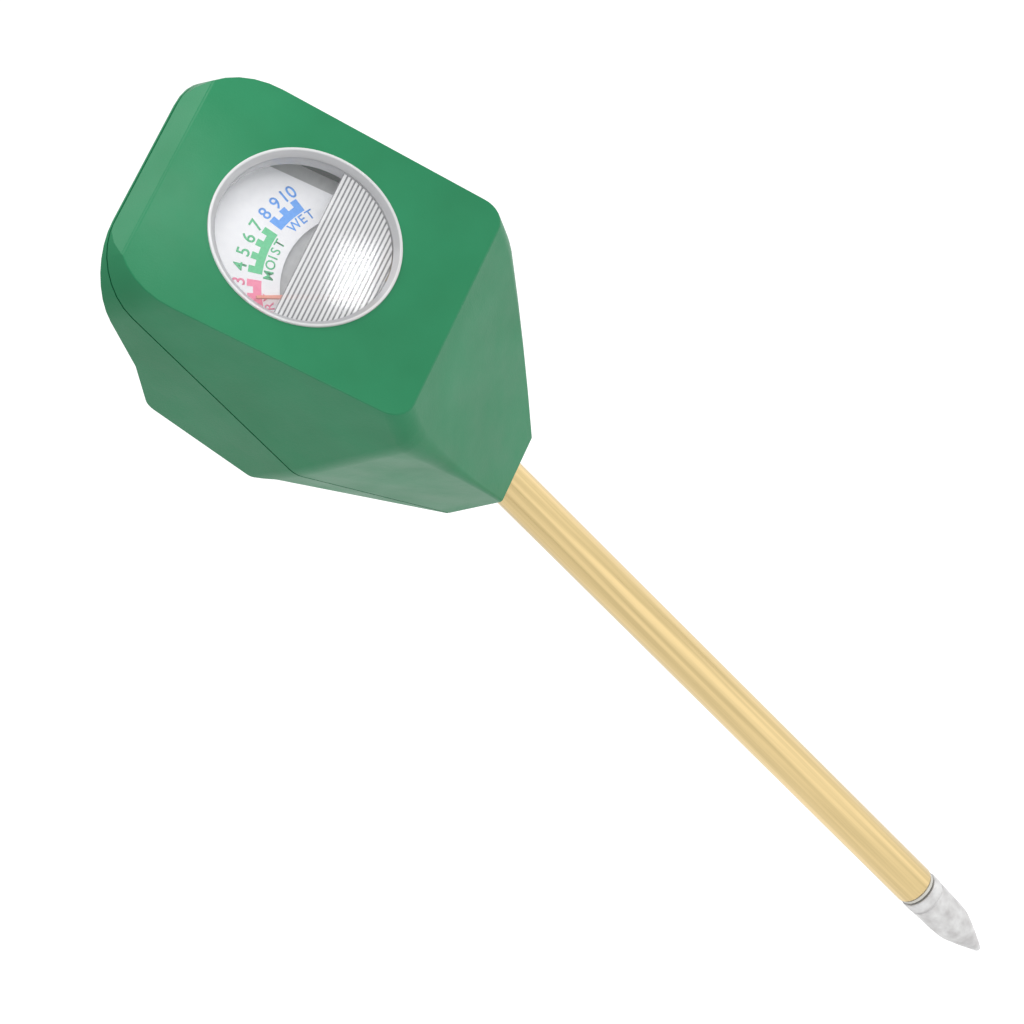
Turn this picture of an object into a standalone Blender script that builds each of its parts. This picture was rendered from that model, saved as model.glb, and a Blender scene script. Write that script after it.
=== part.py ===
"""Soil moisture meter: a two-shell plastic head with a moving-coil dial, on a brass and aluminium probe.

The origin is on the probe's axis at the flat bottom end of the head. +Z runs up the probe into the head,
-Y is the reader's side and +X is the reader's right. Every size is in metres.
"""

import math

import bmesh
import bpy
from mathutils import Matrix, Vector

OBJECT_NAME = "soil_moisture_meter"

# Head, outside. The seam is a plane parallel to the probe, behind its axis.
HEAD_HALF_WIDTH = 0.0252
SHOULDER_HEIGHT = 0.0333
END_HALF_WIDTH = 0.0081
END_FRONT_DEPTH = 0.0050
SEAM_DEPTH = 0.0084
FRONT_DEPTH = 0.0330
CHIN_ABOVE_SHOULDER = 0.0062
FACE_TILT = math.radians(31.2)
FACE_LENGTH = 0.0558
TOP_SLOPE = math.radians(28.8)
DRAFT = math.radians(2.5)
TOP_CORNER_RADIUS = 0.0120
CHIN_CORNER_RADIUS = 0.0044
END_CORNER_RADIUS = 0.0006
SHOULDER_BLEND = 0.0016
EDGE_FILLET = 0.0011
CORNER_STEPS = 8
TAPER_STEPS = 4
BLEND_STEPS = 4

# Rear shell, outside: depths behind the seam, and heights from the top or the shoulder.
REAR_TOP_LAND = 0.0006
SLOPE_FOOT_DEPTH = 0.0109
SLOPE_FOOT_DROP = 0.0236
HUMP_DEPTH = 0.0178
HUMP_DROP = 0.0335
HEEL_DEPTH = 0.0111
HEEL_ABOVE_SHOULDER = 0.0010
LEDGE_DEPTH = 0.0066
LEDGE_DROP = 0.0012
REAR_FOOT_DEPTH = 0.0005
HUMP_ROUNDING = 0.0030

# Mouldings
WALL = 0.0020
SEAM_GAP = 0.0003
GAP = 0.0003
PIN_RADIUS = 0.0012
PIN_LENGTH = 0.0045
PIN_BOSS_RADIUS = 0.0026
PIN_SIDE_MARGIN = 0.0058
PIN_TOP_MARGIN = 0.0100
PIN_SHOULDER_DROP = 0.0053

# Window
WINDOW_ABOVE_MIDDLE = 0.0016
LENS_RADIUS = 0.0172
LENS_CLEARANCE = 0.0002
LENS_PROUD = 0.0004
LENS_THICKNESS = 0.0015
LENS_SKIRT = 0.0014
LENS_FLANGE = 0.0014
LENS_FLANGE_THICKNESS = 0.0010
LENS_BEVEL = 0.0005

# Probe
TUBE_RADIUS = 0.0040
TUBE_WALL = 0.0005
TUBE_CLEARANCE = 0.00015
TUBE_ABOVE_END = 0.0200
TUBE_BELOW_END = 0.1303
TUBE_ROLL = 0.00025
TUBE_ROLL_LENGTH = 0.0014
SOCKET_DEPTH = 0.0140
TIP_LENGTH = 0.0205
TIP_CONE_LENGTH = 0.0088
TIP_TAPER = 0.00045
TIP_COLLAR = 0.0026
TIP_STEM_RADIUS = 0.0017
TIP_STEM_LENGTH = 0.0095
TIP_NOSE_RADIUS = 0.0004
COLLAR_CHAMFER = 0.0003
COLLAR_STEP = 0.00012
COLLAR_STEP_LENGTH = 0.0004
INSULATOR_LENGTH = 0.0085
INSULATOR_FLANGE = 0.0006
CLIP_WALL = 0.0005
CLIP_HEIGHT = 0.0032
CLIP_BELOW_TUBE_TOP = 0.0008
CLIP_TAB_TO_REAR_SHELL = 0.0013
LEAD_RADIUS = 0.0005

# Meter movement, in its own frame: the pivot is the origin, +Y points up the dial and +Z at the reader.
PIVOT_BELOW_WINDOW = 0.0160
DIAL_DEPTH = 0.0080
METER_TURN = math.radians(3.2)
DIAL_HALF_WIDTH = 0.0159
DIAL_TOP = 0.0318
DIAL_FOOT = 0.0075
DIAL_ARCH_RADIUS = 0.0172
DIAL_THICKNESS = 0.0005
FRAME_HALF_WIDTH = 0.0192
FRAME_TOP = 0.0328
FRAME_FOOT_ABOVE_CREASE = 0.0010
FRAME_CORNER_RADIUS = 0.0030
FRAME_PLATE = 0.0020
CUP_WALL = 0.0012
RING_RADIUS = 0.0092
RING_WALL = 0.0018
RING_HEIGHT = 0.0080
CORE_RADIUS = 0.0044
CORE_HEIGHT = 0.0062
SPACER_HALF_ANGLE = math.radians(17)
COIL_CLEARANCE = 0.0004
COIL_FORMER_THICKNESS = 0.0004
COIL_WIRE_THICKNESS = 0.0006
COIL_DEPTH = 0.0026
PIVOT_RADIUS = 0.0004
SCREW_RADIUS = 0.0013
SCREW_HEAD_RADIUS = 0.0019
BRIDGE_WIDTH = 0.0046
SCREW_REACH = 0.0007
SCREW_HEAD = 0.0004
BRIDGE_THICKNESS = 0.0010
BRIDGE_REACH = 0.0145
BRIDGE_STAND_OFF = 0.0014
ZERO_ARM_LENGTH = 0.0065
ZERO_ARM_THICKNESS = 0.0003
HAIRSPRING_RADIUS = 0.0034
HAIRSPRING_PITCH = 0.0008
HAIRSPRING_WIRE = 0.0001
NEEDLE_LENGTH = 0.0218
NEEDLE_HUB_RADIUS = 0.0015
NEEDLE_TAIL = 0.0062
NEEDLE_THICKNESS = 0.0004
NEEDLE_TIP_WIDTH = 0.0005
NEEDLE_ROOT_WIDTH = 0.0013
NEEDLE_HEIGHT = 0.0008
BALANCE_RADIUS = 0.0013
STOP_RADIUS = 0.0125
STOP_WIRE = 0.0004
DIAL_SCREW_RADIUS = 0.0011
DIAL_SCREW_HEAD = 0.0007
SCREW_SLOT_WIDTH = 0.0006
PIVOT_POINT_LENGTH = 0.0006
STOP_ABOVE_NEEDLE = 0.0008
ZERO_ARM_RIM = 0.0012
ZERO_ARM_WIDTH = 0.0012
TERMINAL_WIDTH = 0.0024
TERMINAL_LENGTH = 0.0060
TERMINAL_THICKNESS = 0.0004
TERMINAL_SPREAD = 0.0075
TERMINAL_ABOVE_FOOT = 0.0020
TERMINAL_HOLE_RADIUS = 0.0005
TERMINAL_HOLE_INSET = 0.0012

# Scale
SCALE_FIRST = 1
SCALE_LAST = 10
DEGREES_PER_UNIT = 6.92
REST_READING = 1.55
STOP_MARGIN = 0.35

TURN = 48
FINE_TURN = 24

FACE_UP = Vector((0, math.sin(FACE_TILT), math.cos(FACE_TILT)))
FACE_OUT = Vector((0, -math.cos(FACE_TILT), math.sin(FACE_TILT)))


# ---------------------------------------------------------------- scene, materials and general tools

def clear_scene():
    for item in list(bpy.data.objects):
        bpy.data.objects.remove(item, do_unlink=True)


def make_collection(name):
    collection = bpy.data.collections.new(name)
    bpy.context.scene.collection.children.link(collection)
    return collection


def give_material(item, colour, roughness, metallic=0.0, alpha=1.0):
    material = bpy.data.materials.new(item.name)
    material.use_nodes = True
    shader = material.node_tree.nodes["Principled BSDF"]
    shader.inputs["Base Color"].default_value = (*colour, 1.0)
    shader.inputs["Roughness"].default_value = roughness
    shader.inputs["Metallic"].default_value = metallic
    shader.inputs["Alpha"].default_value = alpha
    material.diffuse_color = (*colour, alpha)
    item.data.materials.clear()
    item.data.materials.append(material)


def new_object(name, data, matrix=Matrix(), cutter=False):
    item = bpy.data.objects.new(name, data)
    item.matrix_world = matrix
    (CUTTERS if cutter else PARTS).objects.link(item)
    if cutter:
        item.hide_render = True
        item.display_type = "WIRE"
    return item


def object_from_bmesh(name, mesh_edit, matrix=Matrix(), cutter=False):
    bmesh.ops.recalc_face_normals(mesh_edit, faces=mesh_edit.faces)
    mesh = bpy.data.meshes.new(name)
    mesh_edit.to_mesh(mesh)
    mesh_edit.free()
    mesh.shade_smooth()
    mesh.set_sharp_from_angle(angle=math.radians(30))
    return new_object(name, mesh, matrix, cutter)


def boolean(item, tool, operation="DIFFERENCE"):
    modifier = item.modifiers.new(f"{operation.lower()} {tool.name}", "BOOLEAN")
    modifier.operation = operation
    modifier.object = tool
    modifier.solver = "EXACT"


def evaluated_copy(item, name):
    """Joins an object's modifiers into a mesh of its own, and removes the object."""
    graph = bpy.context.evaluated_depsgraph_get()
    mesh = bpy.data.meshes.new_from_object(item.evaluated_get(graph))
    matrix = item.matrix_world.copy()
    users = list(item.users_collection)
    bpy.data.objects.remove(item, do_unlink=True)
    copy = bpy.data.objects.new(name, mesh)
    copy.matrix_world = matrix
    for collection in users:
        collection.objects.link(copy)
    if copy.name in CUTTERS.objects:
        copy.hide_render = True
        copy.display_type = "WIRE"
    return copy


def turned(name, profile, matrix=Matrix(), steps=TURN, cutter=False):
    """A turned piece about its own Z. The profile is (radius, height) down its outer side, top to bottom."""
    mesh = bpy.data.meshes.new(name)
    points = [(radius, 0.0, height) for radius, height in profile]
    mesh.from_pydata(points, [(i, i + 1) for i in range(len(points) - 1)], [])
    item = new_object(name, mesh, matrix, cutter)
    screw = item.modifiers.new("turn", "SCREW")
    screw.steps = steps
    screw.render_steps = steps
    screw.use_merge_vertices = True
    screw.merge_threshold = 0.00001
    screw.use_smooth_shade = True
    return item


def ring_profile(outer, inner, top, bottom):
    return [(inner, top), (outer, top), (outer, bottom), (inner, bottom), (inner, top)]


def disc_profile(radius, top, bottom):
    return [(0.0, top), (radius, top), (radius, bottom), (0.0, bottom)]


def cylinder(name, radius, start, end, matrix=Matrix(), steps=FINE_TURN, cutter=False):
    """A straight round bar between two points of the matrix's frame."""
    start, end = Vector(start), Vector(end)
    mesh_edit = bmesh.new()
    bmesh.ops.create_cone(mesh_edit, cap_ends=True, segments=steps, radius1=radius, radius2=radius,
                          depth=(end - start).length)
    turn = (end - start).to_track_quat("Z", "Y").to_matrix().to_4x4()
    bmesh.ops.transform(mesh_edit, matrix=Matrix.Translation((start + end) / 2) @ turn, verts=mesh_edit.verts)
    return object_from_bmesh(name, mesh_edit, matrix, cutter)


def block(name, low, high, matrix=Matrix(), bevel=0.0, cutter=False):
    low, high = Vector(low), Vector(high)
    mesh_edit = bmesh.new()
    bmesh.ops.create_cube(mesh_edit, size=1.0)
    bmesh.ops.scale(mesh_edit, vec=high - low, verts=mesh_edit.verts)
    bmesh.ops.translate(mesh_edit, vec=(low + high) / 2, verts=mesh_edit.verts)
    item = object_from_bmesh(name, mesh_edit, matrix, cutter)
    if bevel:
        modifier = item.modifiers.new("rounded edges", "BEVEL")
        modifier.width = bevel
        modifier.segments = 2
    return item


def plate(name, outline, bottom, top, matrix=Matrix(), cutter=False):
    """A flat outline in X and Y, thickened from bottom to top."""
    mesh_edit = bmesh.new()
    face = mesh_edit.faces.new([mesh_edit.verts.new((x, y, bottom)) for x, y in outline])
    extruded = bmesh.ops.extrude_face_region(mesh_edit, geom=[face])
    raised = [part for part in extruded["geom"] if isinstance(part, bmesh.types.BMVert)]
    bmesh.ops.translate(mesh_edit, vec=(0, 0, top - bottom), verts=raised)
    return object_from_bmesh(name, mesh_edit, matrix, cutter)


def arc(centre, radius, first, last, steps):
    angles = [first + (last - first) * i / steps for i in range(steps + 1)]
    return [(centre[0] + radius * math.cos(a), centre[1] + radius * math.sin(a)) for a in angles]


def rounded_corner(before, corner, after, radius, steps):
    """The arc that rounds a corner of a flat outline, whichever way it turns."""
    before, corner, after = Vector(before), Vector(corner), Vector(after)
    to_before = (before - corner).normalized()
    to_after = (after - corner).normalized()
    half = to_before.angle(to_after) / 2
    start = corner + to_before * radius / math.tan(half)
    centre = corner + (to_before + to_after).normalized() * radius / math.sin(half)
    sweep = math.pi - 2 * half
    if to_before.cross(to_after) > 0:
        sweep = -sweep
    turn = Matrix.Rotation(sweep / steps, 2)
    arm = start - centre
    points = []
    for _ in range(steps + 1):
        points.append(tuple(centre + arm))
        arm = turn @ arm
    return points


def wire(name, points, radius, matrix=Matrix(), resolution=2):
    """A round wire along a line of points, made a closed mesh."""
    curve = bpy.data.curves.new(name, "CURVE")
    curve.dimensions = "3D"
    curve.bevel_depth = radius
    curve.bevel_resolution = resolution
    curve.use_fill_caps = True
    spline = curve.splines.new("POLY")
    spline.points.add(len(points) - 1)
    for place, point in zip(spline.points, points):
        place.co = (*point, 1.0)
    item = new_object(name, curve, matrix)
    return weld(evaluated_copy(item, name))


def weld(item):
    mesh_edit = bmesh.new()
    mesh_edit.from_mesh(item.data)
    bmesh.ops.remove_doubles(mesh_edit, verts=mesh_edit.verts, dist=0.000001)
    bmesh.ops.recalc_face_normals(mesh_edit, faces=mesh_edit.faces)
    mesh_edit.to_mesh(item.data)
    mesh_edit.free()
    return item


def smooth_route(stops, per_span):
    """Points on a smooth curve through the stops."""
    stops = [Vector(stop) for stop in stops]
    ends = [2 * stops[0] - stops[1]] + stops + [2 * stops[-1] - stops[-2]]
    route = []
    for a, b, c, d in zip(ends, ends[1:], ends[2:], ends[3:]):
        for step in range(per_span):
            t = step / per_span
            route.append(0.5 * (2 * b + (c - a) * t + (2 * a - 5 * b + 4 * c - d) * t ** 2
                                + (3 * b - a - 3 * c + d) * t ** 3))
    return route + [stops[-1]]


# ---------------------------------------------------------------- the head's outer form

def chin_height():
    return SHOULDER_HEIGHT + CHIN_ABOVE_SHOULDER


def chin_point():
    """The crease between the reading face and the chin below it, on the head's middle plane."""
    return Vector((0, SEAM_DEPTH - FRONT_DEPTH, chin_height()))


def top_height():
    """Height of the head's ridge, where the top's slope meets the seam."""
    crease = chin_point() + FACE_UP * FACE_LENGTH
    return crease.z + (SEAM_DEPTH - crease.y) * math.tan(TOP_SLOPE)


def window_up_face():
    return FACE_LENGTH / 2 + WINDOW_ABOVE_MIDDLE


def window_centre():
    return chin_point() + FACE_UP * window_up_face()


def front_line(height, inset):
    """Depth (Y) of the chin plane at a height."""
    slope = (chin_point().y + END_FRONT_DEPTH) / chin_height()
    return -END_FRONT_DEPTH + slope * height + inset * math.hypot(1, slope)


def side_taper():
    """How much half the head's width grows for each metre up from its bottom end."""
    return (HEAD_HALF_WIDTH - END_HALF_WIDTH) / SHOULDER_HEIGHT


def shoulder_height(inset):
    return SHOULDER_HEIGHT + inset * (math.hypot(1, side_taper()) - 1) / side_taper()


def half_width(height, depth, inset):
    """Half the head's width at a height and a depth. The tapered and the straight side blend at the shoulder."""
    straight = HEAD_HALF_WIDTH - inset
    over = height - shoulder_height(inset)
    width = straight + side_taper() * min(over, 0.0)
    if abs(over) < SHOULDER_BLEND:
        width = straight - side_taper() * (SHOULDER_BLEND - over) ** 2 / (4 * SHOULDER_BLEND)
    return width - math.tan(DRAFT) * abs(depth - SEAM_DEPTH)


def side_levels(floor, inset):
    """Heights of the level cross-sections, from the floor to just above the crease below the face."""
    shoulder = shoulder_height(inset)
    start = shoulder - SHOULDER_BLEND
    levels = [floor + (start - floor) * step / TAPER_STEPS for step in range(TAPER_STEPS)]
    levels += [start + 2 * SHOULDER_BLEND * step / BLEND_STEPS for step in range(BLEND_STEPS + 1)]
    return levels + [chin_height() + CHIN_CORNER_RADIUS]


def top_corner(inset):
    """The rounding between the top and the sides, as (height, how far the side is drawn in)."""
    radius = TOP_CORNER_RADIUS - inset
    corner = []
    for step in range(CORNER_STEPS + 1):
        angle = math.pi / 2 * step / CORNER_STEPS
        height = top_height() - inset - radius * (1 - math.sin(angle))
        corner.append((height, radius * (1 - math.cos(angle))))
    return corner


def mirrored(points):
    return points + [(-x, y, z) for x, y, z in points]


def front_points(floor, inset, seam):
    points = []
    for height in side_levels(floor, inset):
        front = front_line(height, inset)
        share = min(height / SHOULDER_HEIGHT, 1.0) ** 2
        radius = END_CORNER_RADIUS + (CHIN_CORNER_RADIUS - END_CORNER_RADIUS) * share
        radius = max(radius - inset, GAP)
        side = half_width(height, front + radius, inset)
        corner = arc((side - radius, front + radius), radius, 0.0, -math.pi / 2, CORNER_STEPS)
        points += [(x, y, height) for x, y in [(half_width(height, seam, inset), seam)] + corner]
    for height, drawn_in in top_corner(inset):
        for y in (seam, chin_point().y):
            points.append((half_width(height, y, inset) - drawn_in, y, height))
    return mirrored(points)


def rear_points(floor, inset, seam):
    points = []
    levels = [(height, 0.0) for height in side_levels(floor, inset)] + top_corner(inset)
    for height, drawn_in in levels:
        for y in (seam, SEAM_DEPTH + HUMP_DEPTH + WALL):
            points.append((half_width(height, y, inset) - drawn_in, y, height))
    return mirrored(points)


def hull(points):
    """A convex solid through the points of the head's cross-sections."""
    mesh_edit = bmesh.new()
    for point in points:
        mesh_edit.verts.new(point)
    result = bmesh.ops.convex_hull(mesh_edit, input=mesh_edit.verts)
    spare = [part for part in result["geom_interior"] if isinstance(part, bmesh.types.BMVert)]
    bmesh.ops.delete(mesh_edit, geom=spare, context="VERTS")
    tidy_flat_faces(mesh_edit)
    return mesh_edit


def tidy_flat_faces(mesh_edit):
    bmesh.ops.dissolve_limit(mesh_edit, angle_limit=math.radians(0.05), verts=mesh_edit.verts,
                             edges=mesh_edit.edges)


def cut_away(mesh_edit, point, normal):
    """Cuts off what lies on the normal's side of a plane, and closes the cut with one flat face."""
    geometry = mesh_edit.verts[:] + mesh_edit.edges[:] + mesh_edit.faces[:]
    bmesh.ops.bisect_plane(mesh_edit, geom=geometry, dist=0.000001, plane_co=point, plane_no=normal,
                           clear_outer=True)
    rim = [edge for edge in mesh_edit.edges if edge.is_boundary]
    bmesh.ops.edgeloop_fill(mesh_edit, edges=rim)
    bmesh.ops.remove_doubles(mesh_edit, verts=mesh_edit.verts, dist=0.00002)


def top_plane(inset):
    normal = Vector((0, -math.sin(TOP_SLOPE), math.cos(TOP_SLOPE)))
    return Vector((0, SEAM_DEPTH, top_height())) - normal * inset, normal


def front_form(inset, floor, seam):
    mesh_edit = hull(front_points(floor, inset, seam))
    cut_away(mesh_edit, *top_plane(inset))
    cut_away(mesh_edit, chin_point() - FACE_OUT * inset, FACE_OUT)
    return mesh_edit


def round_face_edges(mesh_edit):
    """Rounds the edges around the flat reading face."""
    rim = []
    for edge in mesh_edit.edges:
        if all(abs((v.co - chin_point()).dot(FACE_OUT)) < 0.00001 for v in edge.verts):
            rim.append(edge)
    bmesh.ops.bevel(mesh_edit, geom=rim, offset=EDGE_FILLET, offset_type="OFFSET", segments=3, profile=0.5,
                    affect="EDGES", clamp_overlap=True)


# ---------------------------------------------------------------- shells

def pin_places():
    """Where the rear shell's four pins enter the front shell's bosses, as (X, Z)."""
    places = []
    for z in (top_height() - PIN_TOP_MARGIN, SHOULDER_HEIGHT - PIN_SHOULDER_DROP):
        x = half_width(z, SEAM_DEPTH, 0.0) - PIN_SIDE_MARGIN
        places += [(-x, z), (x, z)]
    return places


def make_front_shell():
    outer = front_form(0.0, 0.0, SEAM_DEPTH - SEAM_GAP / 2)
    round_face_edges(outer)
    shell = object_from_bmesh("front_shell", outer)

    hollow = object_from_bmesh("front_hollow", front_form(WALL, SOCKET_DEPTH, SEAM_DEPTH + WALL), cutter=True)
    for number, (x, z) in enumerate(pin_places()):
        boss = cylinder(f"boss_{number}", PIN_BOSS_RADIUS, (x, -FRONT_DEPTH, z),
                        (x, SEAM_DEPTH + 2 * WALL, z), cutter=True)
        boolean(hollow, boss)
    hollow = evaluated_copy(hollow, "front_hollow")
    boolean(shell, hollow)

    for number, (x, z) in enumerate(pin_places()):
        socket = cylinder(f"socket_{number}", PIN_RADIUS + GAP / 2, (x, SEAM_DEPTH - PIN_LENGTH - 2 * GAP, z),
                          (x, SEAM_DEPTH + WALL, z), cutter=True)
        boolean(shell, socket)

    middle = window_centre()
    window = cylinder("window_hole", LENS_RADIUS + LENS_CLEARANCE, middle - FACE_OUT * 2 * WALL,
                      middle + FACE_OUT * WALL, steps=2 * TURN, cutter=True)
    boolean(shell, window)
    bore = cylinder("tube_bore", TUBE_RADIUS + TUBE_CLEARANCE, (0, 0, -WALL), (0, 0, SOCKET_DEPTH + WALL),
                    steps=TURN, cutter=True)
    boolean(shell, bore)
    finish_shell(shell)


def finish_shell(shell):
    name = shell.name
    shell = evaluated_copy(shell, name)
    shell.data.shade_smooth()
    shell.data.set_sharp_from_angle(angle=math.radians(30))
    give_material(shell, (0.055, 0.27, 0.13), 0.42)


def rear_profile():
    """The rear shell's side outline, as (Y, Z) corners from its top down, with each corner's rounding."""
    return [
        (SEAM_DEPTH + REAR_TOP_LAND, top_height(), 0.0),
        (SEAM_DEPTH + SLOPE_FOOT_DEPTH, top_height() - SLOPE_FOOT_DROP, HUMP_ROUNDING),
        (SEAM_DEPTH + HUMP_DEPTH, top_height() - HUMP_DROP, HUMP_ROUNDING),
        (SEAM_DEPTH + HEEL_DEPTH, SHOULDER_HEIGHT + HEEL_ABOVE_SHOULDER, HUMP_ROUNDING / 2),
        (SEAM_DEPTH + LEDGE_DEPTH, SHOULDER_HEIGHT - LEDGE_DROP, HUMP_ROUNDING / 3),
        (SEAM_DEPTH + REAR_FOOT_DEPTH, 0.0, 0.0),
    ]


def side_prism(name, corners, seam, matrix=Matrix()):
    """A solid of one side outline, wider than the head, from the corners back to the seam."""
    points = [Vector(corner[:2]) for corner in corners]
    over = points[0] + (points[0] - points[1]).normalized() * 4 * WALL
    under = points[-1] + (points[-1] - points[-2]).normalized() * 4 * WALL
    line = [tuple(over)]
    for before, here, after in zip([over] + points, corners, points[1:] + [under]):
        if here[2] > 0:
            line += rounded_corner(before, here[:2], after, here[2], 4)
    line += [tuple(under), (seam, under.y), (seam, over.y)]
    mesh_edit = bmesh.new()
    width = HEAD_HALF_WIDTH + 2 * WALL
    face = mesh_edit.faces.new([mesh_edit.verts.new((-width, y, z)) for y, z in line])
    extruded = bmesh.ops.extrude_face_region(mesh_edit, geom=[face])
    moved = [part for part in extruded["geom"] if isinstance(part, bmesh.types.BMVert)]
    bmesh.ops.translate(mesh_edit, vec=(2 * width, 0, 0), verts=moved)
    return object_from_bmesh(name, mesh_edit, matrix, cutter=True)


def hump_hollow_profile():
    """The hollow in the rear shell follows its slope, hump and heel, one wall inside them."""
    corners = [Vector(corner[:2]) for corner in rear_profile()[:4]]
    lines = []
    for start, end in zip(corners, corners[1:]):
        along = (end - start).normalized()
        inward = Vector((along.y, -along.x)) * -1
        if inward.x > 0:
            inward = -inward
        lines.append((start + inward * WALL, along))
    return lines


def meet(line_a, line_b):
    (p, u), (q, v) = line_a, line_b
    t = (q - p).cross(v) / u.cross(v)
    return p + u * t


def make_rear_shell():
    seam = SEAM_DEPTH + SEAM_GAP / 2
    shell = object_from_bmesh("rear_shell", hull(rear_points(0.0, 0.0, seam)))
    boolean(shell, side_prism("rear_outline", rear_profile(), SEAM_DEPTH - WALL), "INTERSECT")

    lines = hump_hollow_profile()
    floor = shoulder_height(WALL) + WALL / 2
    level = (Vector((0.0, floor)), Vector((1.0, 0.0)))
    top = (Vector((0.0, top_height() - WALL)), Vector((1.0, 0.0)))
    hollow_corners = [meet(top, lines[0]), meet(lines[0], lines[1]), meet(lines[1], lines[2]),
                      meet(lines[2], level)]
    mesh_edit = bmesh.new()
    width = HEAD_HALF_WIDTH + WALL
    line = [(corner.x, corner.y) for corner in hollow_corners]
    line += [(SEAM_DEPTH - WALL, floor), (SEAM_DEPTH - WALL, top_height() - WALL)]
    face = mesh_edit.faces.new([mesh_edit.verts.new((-width, y, z)) for y, z in line])
    extruded = bmesh.ops.extrude_face_region(mesh_edit, geom=[face])
    moved = [part for part in extruded["geom"] if isinstance(part, bmesh.types.BMVert)]
    bmesh.ops.translate(mesh_edit, vec=(2 * width, 0, 0), verts=moved)
    outline = object_from_bmesh("rear_hollow_outline", mesh_edit, cutter=True)
    hollow = object_from_bmesh("rear_hollow", hull(rear_points(SOCKET_DEPTH, WALL, SEAM_DEPTH - WALL / 2)),
                               cutter=True)
    boolean(hollow, outline, "INTERSECT")
    for number, (x, z) in enumerate(pin_places()):
        stem = cylinder(f"pin_stem_{number}", PIN_BOSS_RADIUS, (x, SEAM_DEPTH - 2 * WALL, z),
                        (x, SEAM_DEPTH + 2 * HUMP_DEPTH, z), cutter=True)
        boolean(hollow, stem)
    hollow = evaluated_copy(hollow, "rear_hollow")
    boolean(shell, hollow)
    for number, (x, z) in enumerate(pin_places()):
        pin = cylinder(f"pin_{number}", PIN_RADIUS, (x, SEAM_DEPTH - PIN_LENGTH, z),
                       (x, SEAM_DEPTH + WALL, z), cutter=True)
        boolean(shell, pin, "UNION")
    finish_shell(shell)


# ---------------------------------------------------------------- window and probe

def make_lens():
    """A clear cap: a flat disc with a bevelled rim, a skirt behind it and a flange inside the wall."""
    matrix = face_matrix(window_centre())
    inner = LENS_RADIUS - LENS_SKIRT
    flange = LENS_RADIUS + LENS_FLANGE
    seat = -WALL - GAP
    foot = seat - LENS_FLANGE_THICKNESS
    front = LENS_PROUD
    profile = [(0.0, front), (LENS_RADIUS - LENS_BEVEL, front), (LENS_RADIUS, front - LENS_BEVEL),
               (LENS_RADIUS, seat), (flange, seat), (flange, foot), (inner, foot),
               (inner, front - LENS_THICKNESS), (0.0, front - LENS_THICKNESS)]
    lens = turned("window_lens", profile, matrix, steps=2 * TURN)
    give_material(lens, (0.9, 0.92, 0.93), 0.08, alpha=0.3)


def face_matrix(origin, turn=0.0):
    """A frame on the head's tilted face: X to the reader's right, Y up the face, Z at the reader."""
    across = Vector((1, 0, 0))
    axes = Matrix((across, FACE_UP, FACE_OUT)).transposed().to_4x4()
    return Matrix.Translation(origin) @ axes @ Matrix.Rotation(turn, 4, "Z")


def tip_top():
    return -TUBE_BELOW_END - INSULATOR_FLANGE - 2 * GAP


def make_tube():
    inner = TUBE_RADIUS - TUBE_WALL
    rolled = TUBE_RADIUS - TUBE_ROLL
    end = -TUBE_BELOW_END
    profile = [(inner, TUBE_ABOVE_END), (TUBE_RADIUS, TUBE_ABOVE_END),
               (TUBE_RADIUS, end + TUBE_ROLL_LENGTH),
               (TUBE_RADIUS - TUBE_ROLL / 3, end + TUBE_ROLL_LENGTH / 2), (rolled, end),
               (rolled - TUBE_WALL, end), (inner, end + TUBE_ROLL_LENGTH), (inner, TUBE_ABOVE_END)]
    give_material(turned("probe_tube", profile), (0.72, 0.53, 0.26), 0.32, metallic=1.0)


def make_insulator():
    """A plastic bush that holds the tip in the tube and keeps the two metals apart."""
    stem = TIP_STEM_RADIUS + GAP / 2
    sleeve = TUBE_RADIUS - TUBE_WALL - TUBE_ROLL - GAP / 2
    flange = TUBE_RADIUS - TUBE_ROLL
    top = -TUBE_BELOW_END - GAP
    foot = top - INSULATOR_FLANGE
    profile = [(stem, top + INSULATOR_LENGTH), (sleeve, top + INSULATOR_LENGTH), (sleeve, top),
               (flange, top), (flange, foot), (stem, foot), (stem, top + INSULATOR_LENGTH)]
    give_material(turned("tip_insulator", profile, steps=FINE_TURN), (0.8, 0.8, 0.78), 0.5)


def make_tip():
    top = tip_top()
    point = top - TIP_LENGTH
    cone_top = point + TIP_CONE_LENGTH
    shoulder = TUBE_RADIUS - TIP_TAPER
    collar_foot = top - TIP_COLLAR
    profile = [(0.0, top + TIP_STEM_LENGTH), (TIP_STEM_RADIUS, top + TIP_STEM_LENGTH),
               (TIP_STEM_RADIUS, top), (TUBE_RADIUS - COLLAR_CHAMFER, top), (TUBE_RADIUS, top - COLLAR_CHAMFER),
               (TUBE_RADIUS, collar_foot), (TUBE_RADIUS - COLLAR_STEP, collar_foot - COLLAR_STEP_LENGTH)]
    profile += rounded_corner((TUBE_RADIUS - COLLAR_STEP, collar_foot), (shoulder, cone_top), (0.0, point),
                              TUBE_RADIUS, 5)
    profile += [(radius, height) for radius, height in nose(point, cone_top, shoulder)]
    give_material(turned("probe_tip", profile), (0.62, 0.62, 0.62), 0.55, metallic=1.0)


def nose(point, cone_top, shoulder):
    """The blunt end of the cone, as a small arc down to the axis."""
    half = math.atan2(shoulder, cone_top - point)
    centre = point + TIP_NOSE_RADIUS
    angles = [half * (1 - step / 4) + (step / 4) * math.pi / 2 for step in range(5)]
    return [(TIP_NOSE_RADIUS * math.cos(a), centre - TIP_NOSE_RADIUS * math.sin(a)) for a in angles]


def clip_top():
    return TUBE_ABOVE_END - CLIP_BELOW_TUBE_TOP


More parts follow.
